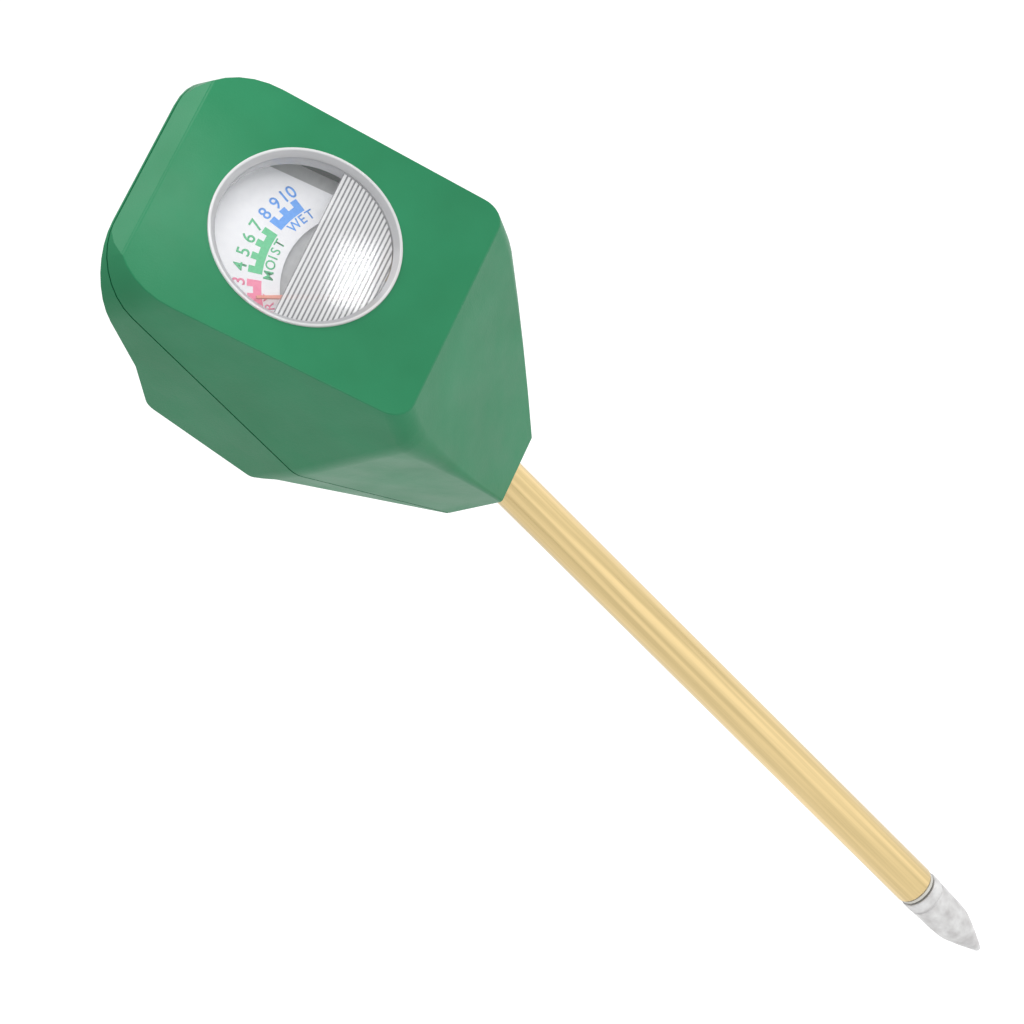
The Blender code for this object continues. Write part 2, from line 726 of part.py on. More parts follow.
def clip_tab_end():
    """The tab stops short of the rear shell's inner face."""
    return SEAM_DEPTH + SEAM_GAP / 2 - CLIP_TAB_TO_REAR_SHELL


def make_tube_clip():
    """A brass clip around the tube's top end, with a tab for its lead."""
    inner = TUBE_RADIUS + TUBE_CLEARANCE
    outer = inner + CLIP_WALL
    top = clip_top()
    clip = turned("tube_clip", ring_profile(outer, inner, top, top - CLIP_HEIGHT), steps=FINE_TURN)
    tab = block("clip_tab", (-TERMINAL_WIDTH / 2, inner + CLIP_WALL / 2, top - CLIP_WALL * 2),
                (TERMINAL_WIDTH / 2, clip_tab_end(), top - CLIP_WALL), cutter=True)
    boolean(clip, tab, "UNION")
    give_material(clip, (0.75, 0.55, 0.25), 0.35, metallic=1.0)


# ---------------------------------------------------------------- meter movement

def meter_origin():
    return window_centre() - FACE_UP * PIVOT_BELOW_WINDOW - FACE_OUT * DIAL_DEPTH


def scale_angle(reading):
    """Angle from the dial's middle line, positive towards its dry end on the left."""
    middle = (SCALE_FIRST + SCALE_LAST) / 2
    return math.radians((middle - reading) * DEGREES_PER_UNIT)


def plate_top():
    return -DIAL_THICKNESS - GAP


def ring_top():
    return plate_top() - FRAME_PLATE - GAP


def ring_bottom():
    return ring_top() - RING_HEIGHT


def core_top():
    return (ring_top() + ring_bottom() + CORE_HEIGHT) / 2


def coil_inner_end():
    """Distance from the core's middle to the inside of the coil former's end bars."""
    return CORE_HEIGHT / 2 + COIL_CLEARANCE


def coil_outer_end():
    return coil_inner_end() + COIL_FORMER_THICKNESS + GAP + COIL_WIRE_THICKNESS


def core_middle():
    return core_top() - CORE_HEIGHT / 2


def bridge_front():
    """Underside of the front bridge, clear of the needle, spring and zero arm."""
    return NEEDLE_HEIGHT + NEEDLE_THICKNESS + BRIDGE_STAND_OFF


def bridge_rear():
    """Top of the rear bridge, clear of the coil and its spring."""
    return min(ring_bottom() - CUP_WALL, core_middle() - coil_outer_end() - BRIDGE_STAND_OFF) - GAP


def make_dial_plate(matrix):
    side = DIAL_HALF_WIDTH
    reach = math.sqrt(DIAL_ARCH_RADIUS ** 2 - side ** 2) if side < DIAL_ARCH_RADIUS else 0.0
    foot = max(DIAL_FOOT, reach + DIAL_THICKNESS)
    start = math.asin(foot / DIAL_ARCH_RADIUS)
    outline = [(-side, DIAL_TOP), (-side, foot)]
    outline += arc((0, 0), DIAL_ARCH_RADIUS, math.pi - start, start, 24)
    outline += [(side, foot), (side, DIAL_TOP)]
    item = plate("dial_plate", outline, -DIAL_THICKNESS, 0.0, matrix)
    for side_name, x, y in dial_screw_places():
        hole = cylinder(f"{side_name}_dial_hole", DIAL_SCREW_RADIUS / 2 + GAP, (x, y, -2 * DIAL_THICKNESS),
                        (x, y, DIAL_THICKNESS), matrix, steps=12, cutter=True)
        boolean(item, hole)
    give_material(item, (0.9, 0.9, 0.91), 0.5)


def dial_screw_places():
    x = DIAL_HALF_WIDTH - 2.2 * DIAL_SCREW_RADIUS
    y = DIAL_TOP - 1.6 * DIAL_SCREW_RADIUS
    return [("left", -x, y), ("right", x, y)]


def frame_foot():
    """The frame's lower edge, tied to the crease below the face."""
    pivot_up_face = window_up_face() - PIVOT_BELOW_WINDOW
    return FRAME_FOOT_ABOVE_CREASE - pivot_up_face


def make_meter_frame(matrix):
    """The grey moulding behind the dial: a flat plate with a cup for the iron ring."""
    top = plate_top()
    side = FRAME_HALF_WIDTH
    foot = frame_foot()
    corner = FRAME_CORNER_RADIUS
    outline = []
    for x, y, first in ((side, FRAME_TOP, 0), (-side, FRAME_TOP, 90), (-side, foot, 180), (side, foot, 270)):
        centre = (x - math.copysign(corner, x), y - math.copysign(corner, y))
        outline += arc(centre, corner, math.radians(first), math.radians(first + 90), 4)
    frame = plate("meter_frame", outline, top - FRAME_PLATE, top, matrix)
    cup_outer = RING_RADIUS + GAP + CUP_WALL
    cup_foot = ring_bottom() - GAP
    cup = turned("cup", disc_profile(cup_outer, top - FRAME_PLATE / 2, cup_foot), matrix, cutter=True)
    bore = turned("cup_bore", disc_profile(RING_RADIUS + GAP, top + WALL, cup_foot - WALL), matrix,
                  cutter=True)
    boolean(frame, cup, "UNION")
    boolean(frame, bore)
    for side_name, x, y in dial_screw_places():
        hole = cylinder(f"{side_name}_frame_hole", DIAL_SCREW_RADIUS / 2 + GAP, (x, y, 0),
                        (x, y, top - 2 * FRAME_PLATE), matrix, steps=12, cutter=True)
        boolean(frame, hole)
    give_material(frame, (0.42, 0.43, 0.44), 0.5)


def make_magnet(matrix):
    ring = ring_profile(RING_RADIUS, RING_RADIUS - RING_WALL, ring_top(), ring_bottom())
    give_material(turned("return_ring", ring, matrix), (0.35, 0.35, 0.36), 0.4, metallic=1.0)
    core = turned("core_magnet", disc_profile(CORE_RADIUS, core_top(), core_top() - CORE_HEIGHT), matrix,
                  steps=FINE_TURN)
    give_material(core, (0.3, 0.3, 0.32), 0.35, metallic=1.0)
    inner = CORE_RADIUS + GAP
    outer = RING_RADIUS - RING_WALL - GAP
    for name, middle in (("upper_core_spacer", 90), ("lower_core_spacer", 270)):
        first = math.radians(middle) - SPACER_HALF_ANGLE
        last = math.radians(middle) + SPACER_HALF_ANGLE
        outline = arc((0, 0), outer, first, last, 5) + arc((0, 0), inner, last, first, 5)
        spacer = plate(name, outline, core_top() - CORE_HEIGHT, core_top(), matrix)
        give_material(spacer, (0.75, 0.72, 0.6), 0.5)


def coil_loop(name, inner, inner_end, thickness, matrix):
    """A rectangular loop around the core, in the plane of its X and Z."""
    middle = core_middle()
    half = COIL_DEPTH / 2
    loop = block(name, (-inner - thickness, -half, middle - inner_end - thickness),
                 (inner + thickness, half, middle + inner_end + thickness), matrix)
    hole = block(f"{name}_hole", (-inner, -COIL_DEPTH, middle - inner_end),
                 (inner, COIL_DEPTH, middle + inner_end), matrix, cutter=True)
    boolean(loop, hole)
    return loop


def make_rotor(matrix):
    inner = CORE_RADIUS + COIL_CLEARANCE
    former = coil_loop("coil_former", inner, coil_inner_end(), COIL_FORMER_THICKNESS, matrix)
    give_material(former, (0.8, 0.8, 0.82), 0.35, metallic=1.0)
    winding = coil_loop("coil_winding", inner + COIL_FORMER_THICKNESS + GAP / 2,
                        coil_inner_end() + COIL_FORMER_THICKNESS + GAP, COIL_WIRE_THICKNESS, matrix)
    give_material(winding, (0.72, 0.33, 0.14), 0.35, metallic=1.0)

    coil_top = core_middle() + coil_outer_end()
    coil_foot = core_middle() - coil_outer_end()
    front_end = bridge_front() - SCREW_REACH
    rear_end = bridge_rear() + SCREW_REACH
    point = PIVOT_POINT_LENGTH
    front = [(0.0, front_end), (PIVOT_RADIUS, front_end - point), (PIVOT_RADIUS, coil_top + GAP),
             (0.0, coil_top + GAP)]
    rear = [(0.0, coil_foot - GAP), (PIVOT_RADIUS, coil_foot - GAP), (PIVOT_RADIUS, rear_end + point),
            (0.0, rear_end)]
    for name, profile in (("front_pivot", front), ("rear_pivot", rear)):
        give_material(turned(name, profile, matrix, steps=12), (0.6, 0.6, 0.62), 0.25, metallic=1.0)


def make_pointer(matrix):
    """The needle, with a hub around the pivot and a tail that carries the balance weight."""
    low = NEEDLE_HEIGHT
    high = NEEDLE_HEIGHT + NEEDLE_THICKNESS
    root = NEEDLE_ROOT_WIDTH / 2
    tip = NEEDLE_TIP_WIDTH / 2
    hub = NEEDLE_HUB_RADIUS
    side = math.asin(root / hub)
    outline = [(tip, NEEDLE_LENGTH), (-tip, NEEDLE_LENGTH)]
    outline += arc((0, 0), hub, math.pi / 2 + side, 1.5 * math.pi - side, 6)
    outline += [(-root, -NEEDLE_TAIL), (root, -NEEDLE_TAIL)]
    outline += arc((0, 0), hub, side - math.pi / 2, math.pi / 2 - side, 6)
    needle = plate("pointer", outline, low, high, matrix)
    hole = cylinder("pointer_hole", PIVOT_RADIUS + GAP / 2, (0, 0, low - WALL), (0, 0, high + WALL), matrix,
                    steps=12, cutter=True)
    boolean(needle, hole)
    give_material(needle, (0.93, 0.35, 0.22), 0.4)


def balance_height():
    """Length of the weight whose moment about the pivot matches the needle's, brass against aluminium."""
    width = (NEEDLE_TIP_WIDTH + NEEDLE_ROOT_WIDTH) / 2
    needle = width * NEEDLE_THICKNESS * NEEDLE_LENGTH * NEEDLE_LENGTH * 0.43
    tail = NEEDLE_ROOT_WIDTH * NEEDLE_THICKNESS * NEEDLE_TAIL ** 2 / 2
    brass_to_aluminium = 3.15
    arm = NEEDLE_TAIL - BALANCE_RADIUS
    return (needle - tail) / (math.pi * BALANCE_RADIUS ** 2 * arm * brass_to_aluminium)


def make_balance(matrix):
    top = NEEDLE_HEIGHT - GAP
    weight = turned("balance_weight", disc_profile(BALANCE_RADIUS, top, top - balance_height()),
                    matrix @ Matrix.Translation((0, BALANCE_RADIUS - NEEDLE_TAIL, 0)), steps=FINE_TURN)
    give_material(weight, (0.75, 0.55, 0.25), 0.35, metallic=1.0)


def bridge(name, low, matrix, legs_to):
    """A bar across the movement, with legs to the frame and a round hole for the jewel screw."""
    item = block(name, (-BRIDGE_REACH, -BRIDGE_WIDTH / 2, low),
                 (BRIDGE_REACH, BRIDGE_WIDTH / 2, low + BRIDGE_THICKNESS), matrix)
    middle = low + BRIDGE_THICKNESS / 2
    for number, side in enumerate((-1, 1)):
        x = side * (BRIDGE_REACH - BRIDGE_THICKNESS)
        half = BRIDGE_WIDTH / 2 - GAP
        leg = block(f"{name}_leg_{number}", (x - BRIDGE_THICKNESS / 2, -half, min(middle, legs_to)),
                    (x + BRIDGE_THICKNESS / 2, half, max(middle, legs_to)), matrix, cutter=True)
        boolean(item, leg, "UNION")
    hole = cylinder(f"{name}_hole", SCREW_RADIUS + GAP / 2, (0, 0, low - WALL),
                    (0, 0, low + 2 * WALL), matrix, steps=16, cutter=True)
    boolean(item, hole)
    give_material(item, (0.78, 0.6, 0.3), 0.35, metallic=1.0)


def jewel_screw(name, inner_face, matrix):
    """A screw through a bridge. Its end has a cup for the pivot's point, and its head a slot."""
    cup = PIVOT_RADIUS + GAP
    foot = inner_face - SCREW_REACH
    under_head = inner_face + BRIDGE_THICKNESS + GAP
    top = under_head + SCREW_HEAD
    profile = [(0.0, top), (SCREW_HEAD_RADIUS, top), (SCREW_HEAD_RADIUS, under_head),
               (SCREW_RADIUS, under_head), (SCREW_RADIUS, foot), (cup, foot), (0.0, foot + SCREW_REACH)]
    screw = turned(name, profile, matrix, steps=16)
    half = SCREW_SLOT_WIDTH / 2
    slot = block(f"{name}_slot", (-2 * SCREW_HEAD_RADIUS, -half, top - SCREW_HEAD / 2),
                 (2 * SCREW_HEAD_RADIUS, half, top + SCREW_HEAD), matrix, cutter=True)
    boolean(screw, slot)
    give_material(screw, (0.7, 0.7, 0.72), 0.3, metallic=1.0)


def hairspring(name, height, matrix):
    """A flat spiral from beside the pivot out to its fixed end."""
    inner = PIVOT_RADIUS + 2 * GAP
    turns = (HAIRSPRING_RADIUS - inner) / HAIRSPRING_PITCH
    count = int(turns * 14)
    points = []
    for step in range(count + 1):
        angle = 2 * math.pi * turns * step / count
        radius = inner + (HAIRSPRING_RADIUS - inner) * step / count
        points.append((radius * math.sin(angle), -radius * math.cos(angle), height))
    item = wire(name, points, HAIRSPRING_WIRE, matrix, resolution=0)
    give_material(item, (0.75, 0.5, 0.25), 0.3, metallic=1.0)


def zero_arm_height():
    return bridge_front() - GAP - ZERO_ARM_THICKNESS


def make_zero_arm(matrix):
    """A lever on the front jewel screw that holds the front spring's outer end and sets the needle's zero."""
    height = zero_arm_height()
    outline = arc((0, 0), SCREW_RADIUS + ZERO_ARM_RIM, math.radians(-60), math.radians(240), 12)
    outline += [(-ZERO_ARM_WIDTH / 2, -ZERO_ARM_LENGTH), (ZERO_ARM_WIDTH / 2, -ZERO_ARM_LENGTH)]
    arm = plate("zero_arm", outline, height, height + ZERO_ARM_THICKNESS, matrix)
    hole = cylinder("zero_arm_hole", SCREW_RADIUS + GAP / 2, (0, 0, height - WALL),
                    (0, 0, height + WALL), matrix, steps=16, cutter=True)
    boolean(arm, hole)
    give_material(arm, (0.7, 0.7, 0.72), 0.35, metallic=1.0)


def make_stops(matrix):
    """Two wire posts, just past the scale's ends, that the needle's root comes to rest against."""
    reach = STOP_WIRE + NEEDLE_ROOT_WIDTH / 2 + GAP
    beyond = math.asin(reach / STOP_RADIUS)
    needle_top = NEEDLE_HEIGHT + NEEDLE_THICKNESS
    for name, limit, side in (("dry_stop", SCALE_FIRST - STOP_MARGIN, 1),
                              ("wet_stop", SCALE_LAST + STOP_MARGIN, -1)):
        angle = scale_angle(limit) + side * beyond + math.pi / 2
        x = STOP_RADIUS * math.cos(angle)
        y = STOP_RADIUS * math.sin(angle)
        post = cylinder(name, STOP_WIRE, (x, y, plate_top() + GAP), (x, y, needle_top + STOP_ABOVE_NEEDLE),
                        matrix, steps=12)
        give_material(post, (0.7, 0.7, 0.72), 0.35, metallic=1.0)


def make_dial_screws(matrix):
    for side_name, x, y in dial_screw_places():
        place = matrix @ Matrix.Translation((x, y, 0))
        head = DIAL_SCREW_HEAD
        profile = [(0.0, GAP + head), (DIAL_SCREW_RADIUS * 0.7, GAP + head),
                   (DIAL_SCREW_RADIUS, GAP + head / 2), (DIAL_SCREW_RADIUS, GAP), (DIAL_SCREW_RADIUS / 2, GAP),
                   (DIAL_SCREW_RADIUS / 2, plate_top() - FRAME_PLATE), (0.0, plate_top() - FRAME_PLATE)]
        screw = turned(f"{side_name}_dial_screw", profile, place, steps=16)
        give_material(screw, (0.75, 0.75, 0.76), 0.3, metallic=1.0)


def terminal_foot():
    return plate_top() - FRAME_PLATE - GAP - TERMINAL_LENGTH


def make_terminals(matrix):
    """Two solder tabs behind the frame's lower edge."""
    y = frame_foot() + TERMINAL_ABOVE_FOOT
    top = plate_top() - FRAME_PLATE - GAP
    eye = terminal_foot() + TERMINAL_HOLE_INSET
    for name, x in (("tube_terminal", -TERMINAL_SPREAD), ("tip_terminal", TERMINAL_SPREAD)):
        tab = block(name, (x - TERMINAL_WIDTH / 2, y, terminal_foot()),
                    (x + TERMINAL_WIDTH / 2, y + TERMINAL_THICKNESS, top), matrix)
        hole = cylinder(f"{name}_hole", TERMINAL_HOLE_RADIUS, (x, y - WALL, eye), (x, y + WALL, eye),
                        matrix, steps=12, cutter=True)
        boolean(tab, hole)
        give_material(tab, (0.75, 0.55, 0.25), 0.35, metallic=1.0)


def make_leads(matrix):
    """The tube's lead ends at its clip, and the tip's lead runs down inside the tube to the tip's stem."""
    clear = LEAD_RADIUS + GAP
    y = frame_foot() + TERMINAL_ABOVE_FOOT - clear
    start_height = terminal_foot() + TERMINAL_HOLE_INSET
    clip_tab = Vector((0, clip_tab_end() - clear, clip_top() - CLIP_WALL + clear))
    left = matrix @ Vector((-TERMINAL_SPREAD, y, start_height))
    left_below = matrix @ Vector((-TERMINAL_SPREAD, y - 0.003, start_height))
    stops = [left, left_below, (left_below + clip_tab) / 2 + Vector((-0.001, 0.001, 0)),
             clip_tab + Vector((-0.001, 0, 0.0025)), clip_tab]
    tube_lead = wire("tube_lead", smooth_route(stops, 4), LEAD_RADIUS)
    give_material(tube_lead, (0.55, 0.06, 0.05), 0.45)

    right = matrix @ Vector((TERMINAL_SPREAD, y, start_height))
    right_below = matrix @ Vector((TERMINAL_SPREAD, y - 0.003, start_height))
    mouth = Vector((0, 0, TUBE_ABOVE_END))
    foot = Vector((0, 0, tip_top() + TIP_STEM_LENGTH + clear))
    stops = [right, right_below, mouth + Vector((0.0015, -0.001, 0.006)), mouth, mouth * 0.5,
             Vector((0, 0, 0)), foot * 0.5, foot]
    tip_lead = wire("tip_lead", smooth_route(stops, 4), LEAD_RADIUS)
    give_material(tip_lead, (0.06, 0.06, 0.07), 0.45)


def make_movement():
    fixed = face_matrix(meter_origin(), METER_TURN)
    rotor = face_matrix(meter_origin(), METER_TURN + scale_angle(REST_READING))
    make_dial_plate(fixed)
    make_meter_frame(fixed)
    make_magnet(fixed)
    make_rotor(rotor)
    make_pointer(rotor)
    make_balance(rotor)
    bridge("front_bridge", bridge_front(), fixed, plate_top() + GAP)
    bridge("rear_bridge", bridge_rear() - BRIDGE_THICKNESS, fixed, plate_top() - FRAME_PLATE - GAP)
    jewel_screw("front_jewel_screw", bridge_front(), fixed)
    jewel_screw("rear_jewel_screw", -bridge_rear(), fixed @ Matrix.Rotation(math.pi, 4, "X"))
    make_zero_arm(fixed)
    hairspring("front_hairspring", (NEEDLE_HEIGHT + NEEDLE_THICKNESS + zero_arm_height()) / 2, fixed)
    hairspring("rear_hairspring", (core_middle() - coil_outer_end() + bridge_rear()) / 2, fixed)
    make_stops(fixed)
    make_dial_screws(fixed)
    make_terminals(fixed)
    make_leads(fixed)


clear_scene()
PARTS = make_collection(OBJECT_NAME)
CUTTERS = make_collection("cutters")
make_front_shell()
make_rear_shell()
make_lens()
make_tube()
make_insulator()
make_tip()
make_tube_clip()
make_movement()
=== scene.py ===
import math

import bmesh
import bpy
from mathutils import Matrix, Vector


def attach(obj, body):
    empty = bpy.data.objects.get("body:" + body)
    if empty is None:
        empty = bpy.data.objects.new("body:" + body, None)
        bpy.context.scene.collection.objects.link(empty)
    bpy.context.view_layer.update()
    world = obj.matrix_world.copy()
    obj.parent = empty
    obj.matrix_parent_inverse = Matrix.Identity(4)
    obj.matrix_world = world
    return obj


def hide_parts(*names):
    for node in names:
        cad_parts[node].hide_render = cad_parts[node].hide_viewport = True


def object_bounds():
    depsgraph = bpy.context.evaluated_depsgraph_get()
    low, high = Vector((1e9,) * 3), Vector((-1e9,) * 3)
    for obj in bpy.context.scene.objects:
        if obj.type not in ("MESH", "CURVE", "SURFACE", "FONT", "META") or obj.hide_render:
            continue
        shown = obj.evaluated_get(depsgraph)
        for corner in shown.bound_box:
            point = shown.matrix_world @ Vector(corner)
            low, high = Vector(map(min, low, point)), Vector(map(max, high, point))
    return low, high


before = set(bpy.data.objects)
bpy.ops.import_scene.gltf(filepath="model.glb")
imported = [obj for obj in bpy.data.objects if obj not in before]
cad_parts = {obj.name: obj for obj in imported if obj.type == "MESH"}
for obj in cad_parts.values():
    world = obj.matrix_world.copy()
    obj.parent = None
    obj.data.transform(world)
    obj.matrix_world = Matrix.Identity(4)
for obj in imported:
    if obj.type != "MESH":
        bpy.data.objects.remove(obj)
cad_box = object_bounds()


# ---------------------------------------------------------------- bench, light and camera
# The meter stands on its point over a pale matt bench, in the soft light of a white studio tent.
# The bench lies at the height of the point, and the camera looks down at the reader's left side of the head.

BENCH_HEIGHT = cad_box[0].z
BENCH_SIZE = 8.0


def new_material(name):
    """A material with its node tree and its shader."""
    material = bpy.data.materials.new(name)
    material.use_nodes = True
    tree = material.node_tree
    shader = tree.nodes["Principled BSDF"]
    return material, tree, shader


def add_node(tree, kind, links=None, **settings):
    """Adds a node, sets its properties and sockets, and joins its inputs to the sockets in links."""
    node = tree.nodes.new(kind)
    for key, value in settings.items():
        if hasattr(node, key) and key not in node.inputs:
            setattr(node, key, value)
        else:
            node.inputs[key.replace("_", " ")].default_value = value
    for key, socket in (links or {}).items():
        tree.links.new(socket, node.inputs[key])
    return node


def grain(tree, scale, stretch=(1, 1, 1), detail=3.0):
    """Noise in the piece's own metres; the scale is in waves a metre, and stretch thins it along an axis."""
    place = add_node(tree, "ShaderNodeTexCoord").outputs["Object"]
    mapping = add_node(tree, "ShaderNodeMapping", {"Vector": place})
    mapping.inputs["Scale"].default_value = stretch
    noise = add_node(tree, "ShaderNodeTexNoise", {"Vector": mapping.outputs["Vector"]}, Scale=scale, Detail=detail)
    return noise.outputs["Fac"]


def spread(tree, source, low, high, start=0.3, stop=0.7):
    """Turns a noise into a number between low and high."""
    node = add_node(tree, "ShaderNodeMapRange", {"Value": source})
    node.inputs["From Min"].default_value = start
    node.inputs["From Max"].default_value = stop
    node.inputs["To Min"].default_value = low
    node.inputs["To Max"].default_value = high
    return node.outputs["Result"]


def shades(tree, source, dark, light, start=0.3, stop=0.7):
    """Turns a noise into a colour between two shades."""
    node = add_node(tree, "ShaderNodeValToRGB", {"Fac": source})
    node.color_ramp.elements[0].position = start
    node.color_ramp.elements[1].position = stop
    node.color_ramp.elements[0].color = (*dark, 1.0)
    node.color_ramp.elements[1].color = (*light, 1.0)
    return node.outputs["Color"]


def relief(tree, shader, height, depth, strength=1.0, under=None):
    """Joins a height to the shader's normal; depth is in metres."""
    bump = add_node(tree, "ShaderNodeBump", {"Height": height}, Distance=depth, Strength=strength)
    if under:
        tree.links.new(under, bump.inputs["Normal"])
    tree.links.new(bump.outputs["Normal"], shader.inputs["Normal"])
    return bump.outputs["Normal"]


bench_paint, bench_tree, bench_shader = new_material("bench_paint")
bench_shade = shades(bench_tree, grain(bench_tree, 9.0), (0.86, 0.86, 0.86), (0.89, 0.89, 0.89))
bench_tree.links.new(bench_shade, bench_shader.inputs["Base Color"])
bench_shader.inputs["Roughness"].default_value = 0.9
bench_shader.inputs["Specular IOR Level"].default_value = 0.1
bench_shader.inputs["Emission Color"].default_value = (1.0, 1.0, 1.0, 1.0)
bench_shader.inputs["Emission Strength"].default_value = 0.35
bench_mesh = bpy.data.meshes.new("bench")
half_bench = BENCH_SIZE / 2
bench_mesh.from_pydata([(-half_bench, -half_bench, 0), (half_bench, -half_bench, 0), (half_bench, half_bench, 0),
                        (-half_bench, half_bench, 0)], [], [(0, 1, 2, 3)])
bench = bpy.data.objects.new("bench", bench_mesh)
bench.location.z = BENCH_HEIGHT - 0.0005
bench_mesh.materials.append(bench_paint)
bpy.context.collection.objects.link(bench)
bench.visible_diffuse = False

studio = bpy.data.worlds.new("studio")
bpy.context.scene.world = studio
studio.use_nodes = True
studio.node_tree.nodes["Background"].inputs["Color"].default_value = (1.0, 1.0, 1.0, 1.0)
studio.node_tree.nodes["Background"].inputs["Strength"].default_value = 0.72
bpy.context.scene.view_settings.view_transform = "Standard"

CAMERA_TARGET = Vector((0.003086, 0.010176, -0.013902))
CAMERA_AZIMUTH = math.radians(-35.11)
CAMERA_ELEVATION = math.radians(30.57)
CAMERA_ROLL = math.radians(-45.34)
CAMERA_DISTANCE = 0.98613
camera_data = bpy.data.cameras.new("camera")
camera_data.lens = 189.7
camera_data.sensor_width = 36.0
camera = bpy.data.objects.new("camera", camera_data)
camera.matrix_world = (Matrix.Translation(CAMERA_TARGET) @ Matrix.Rotation(CAMERA_AZIMUTH, 4, "Z")
                       @ Matrix.Rotation(math.pi / 2 - CAMERA_ELEVATION, 4, "X")
                       @ Matrix.Rotation(CAMERA_ROLL, 4, "Z") @ Matrix.Translation((0, 0, CAMERA_DISTANCE)))
bpy.context.collection.objects.link(camera)
bpy.context.scene.camera = camera


def soft_box(name, place, aim, size, power):
    light = bpy.data.lights.new(name, "AREA")
    light.shape = "RECTANGLE"
    light.size = size[0]
    light.size_y = size[1]
    light.energy = power
    lamp = bpy.data.objects.new(name, light)
    place = Vector(place)
    lamp.location = place
    lamp.visible_camera = False
    lamp.rotation_euler = (Vector(aim) - place).to_track_quat("-Z", "Y").to_euler()
    bpy.context.collection.objects.link(lamp)


HEAD_MIDDLE = Vector((0, 0, 0.05))
soft_box("overhead_light", (0.25, 0.05, 0.55), HEAD_MIDDLE, (0.35, 0.35), 1.1)
soft_box("side_light", (-0.80, -0.40, 0.22), HEAD_MIDDLE, (0.10, 0.30), 0.3)
soft_box("low_light", (0.21, -0.30, -0.06), HEAD_MIDDLE, (0.20, 0.12), 0.15)
soft_box("top_light", (0.018, -0.030, 0.110), (-0.003, 0.005, 0.088), (0.02, 0.02), 0.006)
soft_box("front_light", (-0.05, -0.75, 0.50), HEAD_MIDDLE, (0.30, 0.30), 1.6)
soft_box("window_glint", (0.621, -0.907, 0.563), HEAD_MIDDLE, (0.024, 0.015), 0.03)


# ---------------------------------------------------------------- front shell
# The front half of the head, injection moulded in green ABS with a satin finish.
# Its reading face tilts back, and it plugs onto the rear half's four pins along the seam.

HEAD_GREEN_DARK = (0.0115, 0.190, 0.076)
HEAD_GREEN_LIGHT = (0.0155, 0.222, 0.094)
SHELL_EDGE = 0.00025


def show(name, mesh, body, slot, material, *nodes):
    """Puts a piece in the scene on its body, and hides the solids it stands for."""
    piece = bpy.data.objects.new(name, mesh)
    bpy.context.collection.objects.link(piece)
    mesh.materials.clear()
    mesh.materials.append(material)
    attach(piece, body)
    if nodes:
        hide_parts(*nodes)
    return piece


def moulded_shell(name, node):
    """The solid's own faces, welded, with every outside and inside edge broken as a mould leaves it."""
    mesh_edit = bmesh.new()
    mesh_edit.from_mesh(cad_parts[node].data)
    bmesh.ops.remove_doubles(mesh_edit, verts=mesh_edit.verts, dist=0.00002)
    bmesh.ops.dissolve_limit(mesh_edit, angle_limit=math.radians(0.1), verts=mesh_edit.verts,
                             edges=mesh_edit.edges)
    mesh = bpy.data.meshes.new(name)
    mesh_edit.to_mesh(mesh)
    mesh_edit.free()
    piece = show(name, mesh, "case", "green_plastic", green_plastic, node)
    edges = piece.modifiers.new("moulded edges", "BEVEL")
    edges.width = SHELL_EDGE
    edges.segments = 2
    edges.limit_method = "ANGLE"
    edges.angle_limit = math.radians(24)
    edges.miter_outer = "MITER_ARC"
    mesh.shade_smooth()
    piece.modifiers.new("flat faces stay flat", "WEIGHTED_NORMAL")
    return piece


green_plastic, green_tree, green_shader = new_material("green_plastic")
green_shade = shades(green_tree, grain(green_tree, 60.0), HEAD_GREEN_DARK, HEAD_GREEN_LIGHT)
green_tree.links.new(green_shade, green_shader.inputs["Base Color"])
green_tree.links.new(spread(green_tree, grain(green_tree, 110.0), 0.36, 0.46), green_shader.inputs["Roughness"])
green_shader.inputs["IOR"].default_value = 1.52
green_shader.inputs["Specular IOR Level"].default_value = 0.3
spark = relief(green_tree, green_shader, grain(green_tree, 2600.0, detail=2.0), 0.00002)
relief(green_tree, green_shader, grain(green_tree, 130.0), 0.00008, under=spark)

front_case = moulded_shell("front_case", "front_shell")


# ---------------------------------------------------------------- rear shell
# The back half of the head, moulded in the same green ABS, with a hump that houses the back of the movement.
# It meets the front half along a plain butt seam.

rear_case = moulded_shell("rear_case", "rear_shell")


# ---------------------------------------------------------------- window
# A clear styrene cap pressed into the face. Its upper half is plain, and the lower half is reeded on the inside
# to hide the works. A turned rim stands a little proud of the face.

WINDOW_MIDDLE = Vector((0, -0.009318, 0.064733))
FACE_TILT = math.radians(31.2)
FACE_UP = Vector((0, math.sin(FACE_TILT), math.cos(FACE_TILT)))
FACE_OUT = Vector((0, -math.cos(FACE_TILT), math.sin(FACE_TILT)))
LENS_RADIUS = 0.01737
LENS_PROUD = 0.0004
LIP_WIDTH = 0.00045
RIM_SLOPE = 0.0010
RIM_FOOT = 0.0032
HOLE_RADIUS = 0.0172
FLANGE = 0.0014
FLANGE_TOP = 0.0023
PANE_RADIUS = 0.0158
PANE_DEPTH = 0.0007
PANE_THICKNESS = 0.0004
REED_GAP = 0.00002
REED_START = 0.0010
REED_THICKNESS = 0.0004
REED_PITCH = 0.0008
REED_DEPTH = 0.00045
REED_ROWS = 8
RIM_TURN = 160


def face_frame(origin, turn=0.0):
    """A frame on the reading face: X to the reader's right, Y up the face, Z at the reader."""
    axes = Matrix((Vector((1, 0, 0)), FACE_UP, FACE_OUT)).transposed().to_4x4()
    return Matrix.Translation(origin) @ axes @ Matrix.Rotation(turn, 4, "Z")


